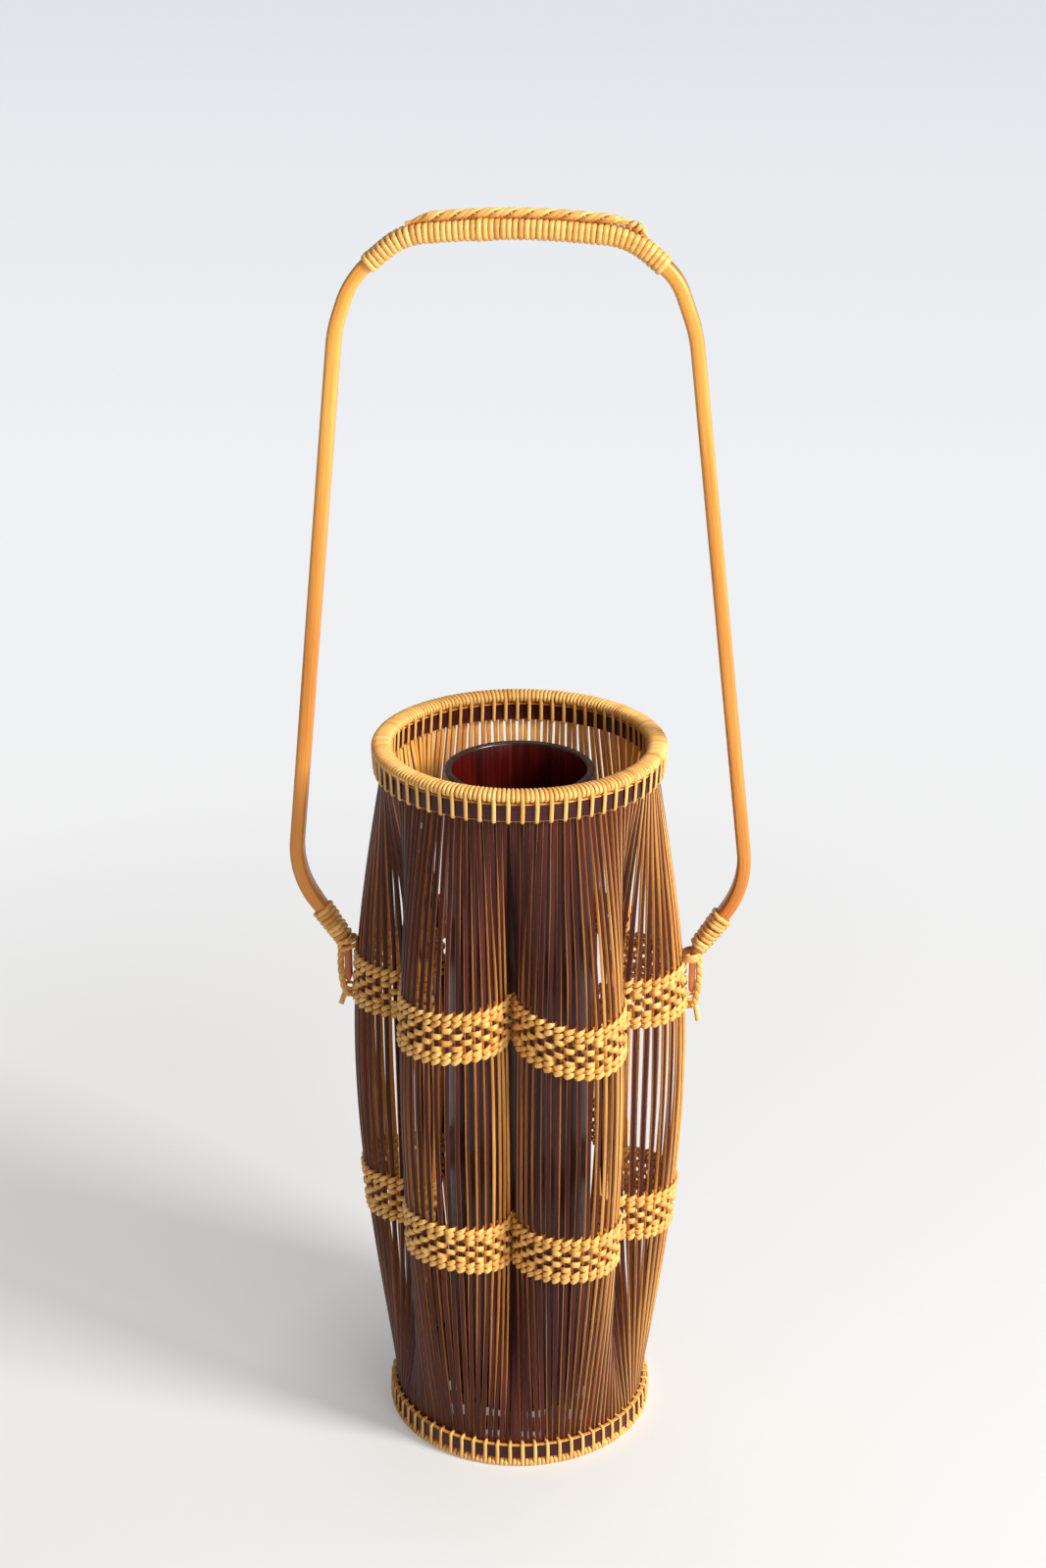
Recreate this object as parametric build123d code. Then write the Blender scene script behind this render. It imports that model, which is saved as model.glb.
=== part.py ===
"""Lobed bamboo flower basket with a tall arched handle and a lift-out bamboo water tube.

The basket stands on its foot ring at z = 0 and is centred on the Z axis.  The handle stands
in the XZ plane, and one crease between two lobes faces -Y.  All sizes are in millimetres.
"""
from build123d import *
import math
import os

os.makedirs("parts", exist_ok=True)

# Body layout
lobe_count = 6
pairs_per_lobe = 11
body_height = 340.0
rim_strip_radius = 60.6
foot_strip_radius = 58.3

# Bamboo strips that form the wall
strip_width = 2.1
strip_thickness = 1.6
strip_pair_pitch = 2.5
strip_clearance = 0.3
strip_lead = 3.0
strip_spans = 26

# Hoops, core and wrapping of the rim
hoop_thickness = 1.9
rim_hoop_height = 7.9
rim_core_width = 7.2
rim_core_height = 3.8
wrap_thickness = 0.8
wrap_clearance = 0.1
wrap_fill = 0.94

# Hoops and core of the foot
foot_hoop_height = 7.2
foot_core_width = 6.4
foot_core_height = 2.6
foot_wear = 0.35

# Woven bands
band_rows = 8
band_row_pitch = 2.95
band_strand_height = 2.7
band_strand_depth = 1.7
band_clearance = 0.3
upper_band_base = 213.0
upper_lobe_offset = 51.0
upper_lobe_radius = 23.0
upper_lobe_half_angle = 115.0
upper_crease_radius = 43.5
lower_band_base = 102.5
lower_lobe_offset = 48.5
lower_lobe_radius = 23.0
lower_lobe_half_angle = 110.0
lower_crease_radius = 43.0

# Floor of crossed slats
floor_slat_count = 5
floor_slat_width = 9.0
floor_slat_pitch = 19.0
floor_slat_thickness = 1.6
floor_height = 6.0
floor_end_clearance = 0.3
floor_cross_clearance = 0.05

# Water tube
tube_outer_radius = 33.3
tube_wall = 3.6
tube_bottom = 6.0
tube_seat_clearance = 0.3
tube_rim_drop = 14.0
tube_lip_rounding = 0.9

# Handle
handle_thickness = 6.0
handle_depth = 9.5
tongue_thickness = 2.2
tongue_depth = 5.5
tongue_length = 19.0
tongue_clearance = 0.3
handle_neck_rise = 2.0
crook_reach = 23.2
crook_rise = 34.35
leg_lean = 0.107
leg_rise = 247.3
shoulder_corner_inset = 8.44
shoulder_corner_rise = 26.0
grip_end_inset = 19.5
grip_end_rise = 14.0
grip_crown_rise = 3.0
tongue_bend_radius = 16.0
crook_radius = 44.0
leg_top_radius = 60.0
shoulder_radius = 29.0
grip_end_radius = 28.0
crown_radius = 300.0

# Rattan wrapping and braid on the grip
grip_strand_width = 2.05
grip_strand_pitch = 2.45
grip_strand_thickness = 1.0
grip_strand_clearance = 0.1
grip_wrap_count = 53
braid_height = 4.2
braid_width = 5.0
braid_clearance = 0.15
braid_stitch_length = 7.35
braid_stitch_count = 12
braid_stitch_gap = 0.3
knot_width = 8.0

# Lashings at the feet of the handle
lashing_wrap_count = 7
lashing_start = 5.5
tie_cord_diameter = 2.2
tie_cord_bend_radius = 4.0
tie_cord_clearance = 0.25
tie_cord_tail = 5.0
cross_strand_width = 2.3
cross_strand_thickness = 1.1
cross_strand_reach = 8.0

# Heights and radii that follow from the sizes above
lobe_angle = 360.0 / lobe_count
pair_count = lobe_count * pairs_per_lobe
strips_per_lobe = 2 * pairs_per_lobe
strand_angle = 360.0 / (3 * pair_count)
hoop_gap = strip_thickness / 2 + strip_clearance
rim_core_centre = body_height - wrap_thickness - rim_core_height / 2
rim_hoop_top = body_height - 2 * (wrap_thickness + wrap_clearance) - rim_core_height
rim_hoop_bottom = rim_hoop_top - rim_hoop_height
foot_core_centre = wrap_thickness - foot_wear + foot_core_height / 2
foot_hoop_bottom = 2 * (wrap_thickness + wrap_clearance) - foot_wear + foot_core_height
foot_hoop_top = foot_hoop_bottom + foot_hoop_height
band_height = (band_rows - 1) * band_row_pitch + band_strand_height
upper_band_middle = upper_band_base + band_height / 2
lower_band_middle = lower_band_base + band_height / 2
band_reach = strip_thickness / 2 + band_clearance + band_strand_depth
upper_band_tip = upper_lobe_offset + upper_lobe_radius + band_reach
upper_slat_bottom = floor_height + floor_slat_thickness + floor_cross_clearance
tube_base = upper_slat_bottom + floor_slat_thickness + tube_seat_clearance
tube_top = body_height - tube_rim_drop
tongue_middle = upper_band_tip + tongue_clearance + tongue_thickness / 2
handle_neck = upper_band_base + band_height + handle_neck_rise
crook_half_width = tongue_middle + crook_reach
crook_height = handle_neck + crook_rise
shoulder_half_width = crook_half_width - leg_lean * leg_rise
shoulder_height = crook_height + leg_rise
shoulder_corner_half_width = shoulder_half_width - shoulder_corner_inset
shoulder_corner_height = shoulder_height + shoulder_corner_rise
grip_end_half_width = shoulder_corner_half_width - grip_end_inset
grip_end_height = shoulder_corner_height + grip_end_rise
grip_crown_height = grip_end_height + grip_crown_rise
wrap_outline_thickness = handle_thickness / 2 + grip_strand_clearance
wrap_outline_depth = handle_depth / 2 + grip_strand_clearance


def save(shapes, node):
    """Write one node to its own STEP file."""
    part = shapes if isinstance(shapes, (Part, Solid)) else Compound(children=list(shapes))
    export_step(part, f"parts/{node}.step")


def bow(z, values):
    """Height curve of a springy strip held at the foot, the two bands and the rim."""
    heights = (
        foot_hoop_top + strip_lead,
        lower_band_middle,
        upper_band_middle,
        rim_hoop_bottom - strip_lead,
    )
    if z <= heights[0]:
        return values[0]
    if z >= heights[3]:
        return values[3]
    spans = [heights[i + 1] - heights[i] for i in range(3)]
    slopes = [(values[i + 1] - values[i]) / spans[i] for i in range(3)]
    a = 2 * (spans[0] + spans[1])
    b = spans[1]
    d = 2 * (spans[1] + spans[2])
    low = 6 * (slopes[1] - slopes[0])
    high = 6 * (slopes[2] - slopes[1])
    bend_low = (low * d - b * high) / (a * d - b * b)
    bend_high = (a * high - b * low) / (a * d - b * b)
    bends = (0.0, bend_low, bend_high, 0.0)
    i = max(k for k in range(3) if z >= heights[k])
    h = spans[i]
    left = (heights[i + 1] - z) / h
    right = (z - heights[i]) / h
    curve = (left**3 - left) * bends[i] + (right**3 - right) * bends[i + 1]
    return left * values[i] + right * values[i + 1] + curve * h * h / 6


def strip_stations(index):
    """Place (x, y, facing) of one strip at the foot, the lower band, the upper band and the rim,
    for the lobe whose tip points along +X."""
    pair_angle = 360.0 / pair_count
    pair = index // 2 - (pairs_per_lobe - 1) / 2
    side = index % 2 - 0.5
    share = 2 * index / (strips_per_lobe - 1) - 1

    def on_ring(radius):
        facing = pair * pair_angle + side * math.degrees(strip_pair_pitch / radius)
        turn = math.radians(facing)
        return radius * math.cos(turn), radius * math.sin(turn), facing

    def on_lobe(offset, radius, half_angle):
        facing = share * half_angle
        turn = math.radians(facing)
        return offset + radius * math.cos(turn), radius * math.sin(turn), facing

    lower = on_lobe(lower_lobe_offset, lower_lobe_radius, lower_lobe_half_angle)
    upper = on_lobe(upper_lobe_offset, upper_lobe_radius, upper_lobe_half_angle)
    return on_ring(foot_strip_radius), lower, upper, on_ring(rim_strip_radius)


def strip_section(stations, z):
    """Cross-section of one strip at one height."""
    x, y, facing = (bow(z, [station[k] for station in stations]) for k in range(3))
    turn = math.radians(facing)
    plane = Plane(origin=(x, y, z), x_dir=(math.cos(turn), math.sin(turn), 0), z_dir=(0, 0, 1))
    return plane * Rectangle(strip_thickness, strip_width)


def strip_heights():
    """Heights of the sections that a strip is lofted through, evenly spaced between the hoops."""
    step = (rim_hoop_bottom - foot_hoop_top) / strip_spans
    even = [foot_hoop_top + k * step for k in range(strip_spans + 1)]
    return [foot_hoop_bottom] + even + [rim_hoop_top]


def make_strips():
    """All strips of the lobe whose tip points along +X."""
    strips = []
    for index in range(strips_per_lobe):
        stations = strip_stations(index)
        strips.append(loft([strip_section(stations, z) for z in strip_heights()]))
    return strips


def make_hoop(inner_radius, bottom, height):
    """Flat bamboo hoop."""
    ring = Circle(inner_radius + hoop_thickness) - Circle(inner_radius)
    return extrude(Plane.XY.offset(bottom) * ring, amount=height)


def core_outline(radius, centre, width, height, grow=0.0):
    """Flat oval section of a ring core, with radius along X and height along Y."""
    return Pos(radius, centre) * Ellipse(width / 2 + grow, height / 2 + grow)


def long_wrap_outline(radius, core, bottom, height, grow):
    """Flat outline round a core section, both hoops and the strips between them."""
    half = hoop_gap + hoop_thickness + grow
    hoops = RectangleRounded(2 * half, height + 2 * grow, grow)
    return make_hull(core.edges() + (Pos(radius, bottom + height / 2) * hoops).edges())


def make_core(radius, centre, width, height):
    """Rattan core that the short wraps go round."""
    return revolve(Plane.XZ * core_outline(radius, centre, width, height), Axis.Z)


def make_wrap(section, turn):
    """One wrap with a flat section, stood up in the XZ plane and turned about Z."""
    arc = strand_angle * wrap_fill
    return Rot(0, 0, turn - arc / 2) * revolve(Plane.XZ * section, Axis.Z, revolution_arc=arc)


def spread_wraps(wrap):
    """Copies of one wrap, one for each pair of strips."""
    return [Rot(0, 0, k * 360.0 / pair_count) * wrap for k in range(pair_count)]


def make_ring_set(name, radius, core_centre, core_width, core_height, hoop_bottom, hoop_height):
    """Hoops, core and wrapping of the rim or of the foot."""
    inner_hoop = radius - hoop_gap - hoop_thickness
    outer_hoop = radius + hoop_gap
    save(make_hoop(outer_hoop, hoop_bottom, hoop_height), f"{name}_outer_hoop")
    save(make_hoop(inner_hoop, hoop_bottom, hoop_height), f"{name}_inner_hoop")
    save(make_core(radius, core_centre, core_width, core_height), f"{name}_core")
    core = (radius, core_centre, core_width, core_height)
    outlines = []
    for grow in (wrap_thickness, wrap_clearance):
        section = core_outline(*core, grow)
        outlines.append(long_wrap_outline(radius, section, hoop_bottom, hoop_height, grow))
    between_pairs = strand_angle * 1.5
    strips = Pos(radius, hoop_bottom + hoop_height / 2) * Rectangle(
        2 * hoop_gap, hoop_height + 2 * (wrap_thickness + wrap_clearance)
    )
    worn = Pos(radius, -wrap_thickness / 2) * Rectangle(2 * core_width, wrap_thickness)
    long_section = outlines[0] - outlines[1] - strips - worn
    save(spread_wraps(make_wrap(long_section, between_pairs)), f"{name}_long_wraps")
    short_section = core_outline(*core, wrap_thickness) - core_outline(*core, wrap_clearance) - worn
    short_wraps = spread_wraps(make_wrap(short_section, between_pairs - strand_angle))
    short_wraps += spread_wraps(make_wrap(short_section, between_pairs + strand_angle))
    save(short_wraps, f"{name}_short_wraps")


def lobe_circle(z):
    """Offset and radius of the circle that the strips of one lobe follow at a band height."""
    points = []
    for index in (pairs_per_lobe, strips_per_lobe - pairs_per_lobe // 2):
        stations = strip_stations(index)
        x, y = (bow(z, [station[k] for station in stations]) for k in range(2))
        points.append((x, y))
    (tip_x, tip_y), (side_x, side_y) = points
    spread = tip_x**2 + tip_y**2 - side_x**2 - side_y**2
    centre = spread / (2 * (tip_x - side_x))
    return centre, math.hypot(tip_x - centre, tip_y)


def lobed_region(offset_distance, radius, crease_radius, grow):
    """Flat six-lobed region that reaches grow beyond the middle of the strips."""
    region = Circle(crease_radius + grow)
    for k in range(lobe_count):
        region += Rot(0, 0, k * lobe_angle) * Pos(offset_distance, 0) * Circle(radius + grow)
    return region


def lobed_ring(offset_distance, radius, crease_radius, inner, outer):
    """Flat ring between two lobed outlines."""
    big = lobed_region(offset_distance, radius, crease_radius, outer)
    small = lobed_region(offset_distance, radius, crease_radius, inner)
    return big - small


def make_band(name, base, crease_radius):
    """Rows of one woven band, each a strand outside the strips and a strand inside them."""
    face = strip_thickness / 2 + band_clearance
    for row in range(band_rows):
        bottom = base + row * band_row_pitch
        sizes = (*lobe_circle(bottom + band_strand_height / 2), crease_radius)
        outside = lobed_ring(*sizes, face, face + band_strand_depth)
        inside = lobed_ring(*sizes, -face - band_strand_depth, -face)
        plane = Plane.XY.offset(bottom)
        strands = [extrude(plane * flat, amount=band_strand_height) for flat in (outside, inside)]
        save(strands, f"{name}_row_{row + 1}")


def make_floor_layer(bottom):
    """Parallel slats along X, cut to the round inside the inner foot hoop."""
    reach = foot_strip_radius - hoop_gap - hoop_thickness - wrap_thickness - floor_end_clearance
    slats = []
    for k in range(floor_slat_count):
        middle = (k - (floor_slat_count - 1) / 2) * floor_slat_pitch
        flat = Circle(reach) & Pos(0, middle) * Rectangle(2 * reach, floor_slat_width)
        slats.append(extrude(Plane.XY.offset(bottom) * flat, amount=floor_slat_thickness))
    return slats


def make_tube():
    """Water tube: a bamboo cup closed at the bottom."""
    height = tube_top - tube_base
    body = Pos(0, 0, tube_base) * extrude(Circle(tube_outer_radius), amount=height)
    inside = Circle(tube_outer_radius - tube_wall)
    bore = Pos(0, 0, tube_base + tube_bottom) * extrude(inside, amount=height)
    cup = body - bore
    lip = cup.edges().filter_by(GeomType.CIRCLE).group_by(Axis.Z)[-1]
    return fillet(lip, tube_lip_rounding)


def handle_leg(side):
    """Corner points and bend radii of one leg, from the neck to the end of the grip."""
    points = [
        (tongue_middle, handle_neck - tongue_length),
        (tongue_middle, handle_neck),
        (crook_half_width, crook_height),
        (shoulder_half_width, shoulder_height),
        (shoulder_corner_half_width, shoulder_corner_height),
        (grip_end_half_width, grip_end_height),
    ]
    radii = [tongue_bend_radius, crook_radius, leg_top_radius, shoulder_radius, grip_end_radius]
    return [(side * x, z) for x, z in points], radii


def handle_path():
    """Middle line of the handle strip in the XZ plane, from one neck to the other."""
    left, left_radii = handle_leg(-1)
    right, right_radii = handle_leg(1)
    points = left + [(0, grip_crown_height)] + right[::-1]
    radii = left_radii + [crown_radius] + right_radii[::-1]
    return Plane.XZ * FilletPolyline(*points, radius=radii)


def strip_along(path, thickness, depth):
    """Flat strip of one thickness that follows a path in the XZ plane, centred on y = 0."""
    outline = path.wire().offset_2d(thickness / 2, side=Side.BOTH, kind=Kind.INTERSECTION)
    return extrude(make_face(outline.edges()), amount=depth / 2, dir=(0, 1, 0), both=True)


def make_tongue(side):
    """Thinned end of the handle strip that lies against the upper band."""
    middle_height = handle_neck - tongue_length / 2
    place = Pos(side * tongue_middle, 0, middle_height)
    return place * Box(tongue_thickness, tongue_depth, tongue_length)


def make_handle():
    """Bent bamboo strip with its two tongues."""
    strip = strip_along(handle_path(), handle_thickness, handle_depth)
    ends = Box(2 * (tongue_middle + handle_thickness), 2 * handle_depth, 2 * tongue_length)
    strip -= Pos(0, 0, handle_neck - tongue_length) * ends
    return strip + make_tongue(-1) + make_tongue(1)


def wrap_round_handle(location):
    """One wrap of rattan round the handle strip at a place on its path."""
    inner = Rectangle(2 * wrap_outline_depth, 2 * wrap_outline_thickness)
    reach = 2 * grip_strand_thickness
    outer = RectangleRounded(
        2 * wrap_outline_depth + reach, 2 * wrap_outline_thickness + reach, grip_strand_thickness
    )
    return location * extrude(outer - inner, amount=grip_strand_width / 2, both=True)


def place_on_handle(path, distance):
    """Location at a distance along the path, with its x axis along Y and its z axis on the path."""
    share = distance / path.length
    tangent = path.tangent_at(share)
    return Plane(origin=path.position_at(share), x_dir=(0, 1, 0), z_dir=tangent).location


def make_grip_wrap(path):
    """Close wraps over the crown of the handle."""
    first = path.length / 2 - (grip_wrap_count - 1) * grip_strand_pitch / 2
    distances = [first + k * grip_strand_pitch for k in range(grip_wrap_count)]
    return [wrap_round_handle(place_on_handle(path, distance)) for distance in distances]


def braid_rise():
    """Height of the middle of the braid over the middle line of the handle."""
    return wrap_outline_thickness + grip_strand_thickness + braid_clearance + braid_height / 2


def make_braid(path):
    """Braided ridge on top of the grip, one lens-shaped stitch after another."""
    half_count = (braid_stitch_count - 1) / 2
    stitches = []
    for k in range(braid_stitch_count):
        distance = path.length / 2 + (k - half_count) * braid_stitch_length
        place = place_on_handle(path, distance) * Pos(0, braid_rise(), 0)
        length = braid_stitch_length - braid_stitch_gap
        section = RectangleRounded(braid_width, braid_height, braid_height / 3)
        stitches.append(place * extrude(section, amount=length / 2, both=True))
    return stitches


def make_knot(path):
    """Knot that closes the braid at its right-hand end."""
    distance = path.length / 2 + (braid_stitch_count * braid_stitch_length + knot_width) / 2
    place = place_on_handle(path, distance) * Pos(0, braid_rise(), 0)
    section = RectangleRounded(braid_width * 1.2, braid_height, braid_height / 3)
    return place * extrude(section, amount=knot_width / 2, both=True)


def make_lashing(path, side):
    """Wraps round the lower end of one handle leg."""
    start = tongue_length + lashing_start
    distances = [start + k * grip_strand_pitch for k in range(lashing_wrap_count)]
    if side > 0:
        distances = [path.length - distance for distance in distances]
    return [wrap_round_handle(place_on_handle(path, distance)) for distance in distances]


def make_tie_cord(side):
    """Round rattan cord that runs down over the tongue and in under the band."""
    outer = tongue_middle + tongue_thickness / 2 + tie_cord_clearance + tie_cord_diameter / 2
    outer += cross_strand_thickness + tie_cord_clearance
    below = upper_band_base - tie_cord_clearance - tie_cord_diameter / 2
    strip_face = upper_lobe_offset + upper_lobe_radius + strip_thickness / 2
    points = [
        (side * (strip_face + tie_cord_clearance), below),
        (side * outer, below),
        (side * outer, handle_neck - tie_cord_tail / 2),
    ]
    path = Plane.XZ * FilletPolyline(*points, radius=tie_cord_bend_radius)
    start = Plane(origin=path @ 0, z_dir=path % 0)
    return sweep(start * Circle(tie_cord_diameter / 2), path=path)


def make_cross_strands(side):
    """Two flat strands that hold the tongue against the band."""
    inner = upper_band_tip + tongue_clearance + tongue_thickness + band_clearance
    strands = []
    for height in (upper_band_base + band_height / 5, upper_band_base + band_height * 4 / 5):
        outer_face = inner + cross_strand_thickness
        turn = math.degrees(cross_strand_reach / inner)
        ring = Circle(outer_face) - Circle(inner)
        wedge = make_face(Polyline(
            (0, 0),
            (2 * outer_face, -2 * outer_face * math.tan(math.radians(turn))),
            (2 * outer_face, 2 * outer_face * math.tan(math.radians(turn))),
            close=True,
        ))
        flat = Plane.XY.offset(height - cross_strand_width / 2) * (ring & wedge)
        strand = extrude(flat, amount=cross_strand_width)
        strands.append(Rot(0, 0, 0 if side > 0 else 180) * strand)
    return strands


def make_wall():
    """Six nodes of strips, one for each lobe."""
    strips = make_strips()
    for k in range(lobe_count):
        turned = [Rot(0, 0, k * lobe_angle) * strip for strip in strips]
        save(turned, f"wall_strips_lobe_{k + 1}")


def make_all():
    """Write every node of the basket."""
    make_wall()
    make_ring_set("rim", rim_strip_radius, rim_core_centre, rim_core_width, rim_core_height,
                  rim_hoop_bottom, rim_hoop_height)
    make_ring_set("foot", foot_strip_radius, foot_core_centre, foot_core_width,
                  foot_core_height, foot_hoop_bottom, foot_hoop_height)
    make_band("upper_band", upper_band_base, upper_crease_radius)
    make_band("lower_band", lower_band_base, lower_crease_radius)
    save(make_floor_layer(floor_height), "floor_slats_lower")
    upper_slats = [Rot(0, 0, 90) * slat for slat in make_floor_layer(upper_slat_bottom)]
    save(upper_slats, "floor_slats_upper")
    save(make_tube(), "water_tube")
    path = handle_path()
    save(make_handle(), "handle_bow")
    save(make_grip_wrap(path), "grip_wrap")
    save(make_braid(path), "grip_braid")
    save(make_knot(path), "grip_braid_knot")
    for name, side in (("left", -1), ("right", 1)):
        save(make_lashing(path, side), f"handle_lashing_{name}")
        save(make_tie_cord(side), f"handle_tie_cord_{name}")
        save(make_cross_strands(side), f"handle_cross_strands_{name}")


make_all()
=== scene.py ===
import math

import bpy
import numpy as np
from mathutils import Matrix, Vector


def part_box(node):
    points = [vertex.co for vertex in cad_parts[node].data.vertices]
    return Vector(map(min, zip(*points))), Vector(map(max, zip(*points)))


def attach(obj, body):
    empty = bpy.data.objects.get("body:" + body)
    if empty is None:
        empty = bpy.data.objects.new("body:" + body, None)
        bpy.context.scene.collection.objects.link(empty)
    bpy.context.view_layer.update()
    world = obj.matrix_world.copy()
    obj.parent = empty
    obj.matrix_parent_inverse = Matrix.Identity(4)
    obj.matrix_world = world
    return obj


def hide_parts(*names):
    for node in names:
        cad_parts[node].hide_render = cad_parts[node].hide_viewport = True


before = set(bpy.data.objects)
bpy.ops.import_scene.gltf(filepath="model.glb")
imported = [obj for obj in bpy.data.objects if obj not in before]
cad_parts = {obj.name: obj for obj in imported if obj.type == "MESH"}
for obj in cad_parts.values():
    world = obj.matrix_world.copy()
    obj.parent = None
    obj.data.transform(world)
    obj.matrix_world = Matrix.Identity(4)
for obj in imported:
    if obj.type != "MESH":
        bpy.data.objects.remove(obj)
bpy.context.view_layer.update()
chance = np.random.default_rng(7)

# Counts, and sizes in millimetres, that the boxes of the CAD nodes don't give
MM = 0.001
LOBES = 6
STRIPS = 22  # in each lobe
STRIP_THICK = 1.6
STRIP_WIDE = 2.05  # a little under the CAD solid's width
PAIR_GAP = 2.5  # between the two strips of a pair, at the hoops
LOWER_LOBE = (48.5, 23.0, 110.0)  # offset, radius and half angle of a lobe's arc at a band
UPPER_LOBE = (51.0, 23.0, 115.0)
REPEATS = 66  # of one long wrap and two short ones, round the rim and the foot
STRAND_TURN = 2 * math.pi / (3 * REPEATS)
HOOP_GAP = 1.1  # from the strips' middle to a hoop
HOOP_THICK = 1.9
WRAP_THICK = 0.8
WRAP_CLEAR = 0.1
BAND_ROWS = 8
TWINED_ROWS = (0, 1, 6, 7)
TONGUE_X = 78.2
TONGUE_LENGTH = 19.0
CROOK = (101.4, 272.7)  # x and z of the leg's widest bend
LEG_LEAN = 0.107  # inwards, for each millimetre up from the crook
SHOULDER_Z = 520.0
HANDLE_SIZE = (9.5, 6.0)  # width and thickness
GRIP_PITCH = 2.45
GRIP_WRAPS = 53
BRAID_STEP = 7.35  # half a turn of the ridge
BRAID_HALF = 6 * BRAID_STEP
LASHING_WRAPS = 8
TUBE_BORE = 29.7
TUBE_FLOOR = 6.0
ACROSS, UP = 0, 2  # axes of a box
LOW, HIGH = 0, 1  # ends of a box


def face(name, axis, end):
    """Where one face of a CAD node's box lies, in millimetres to 0.01."""
    return round(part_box(name)[end][axis] / MM, 2)


def height_span(name):
    """Lowest and highest point of a CAD node, in millimetres."""
    return face(name, UP, LOW), face(name, UP, HIGH)


def hoop_radius(name):
    """Radius of the strips' middle at the rim or the foot, from the hoop outside them."""
    return round(face(name, ACROSS, HIGH) - HOOP_GAP - HOOP_THICK, 2)


def cane_size(name, radius):
    """Middle height, width and height of the oval cane inside the rim or the foot."""
    low, high = height_span(name)
    width = 2 * (face(name, ACROSS, HIGH) - radius)
    return round((low + high) / 2, 2), round(width, 2), round(high - low, 2)


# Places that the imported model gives, in millimetres
BODY_TOP = height_span("rim_long_wraps")[1]
RIM_HOOP = height_span("rim_outer_hoop")
FOOT_HOOP = height_span("foot_outer_hoop")
RIM_RADIUS = hoop_radius("rim_outer_hoop")
FOOT_RADIUS = hoop_radius("foot_outer_hoop")
RIM_CANE = cane_size("rim_core", RIM_RADIUS)
FOOT_CANE = cane_size("foot_core", FOOT_RADIUS)
UPPER_BASE = height_span("upper_band_row_1")[0]
LOWER_BASE = height_span("lower_band_row_1")[0]
ROW_PITCH = round(height_span("upper_band_row_2")[0] - UPPER_BASE, 2)
BAND_HEIGHT = round(height_span("upper_band_row_8")[1] - UPPER_BASE, 2)
NECK_Z = round(height_span("handle_bow")[0] + TONGUE_LENGTH, 2)


# ---------------------------------------------------------------- meshes

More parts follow.
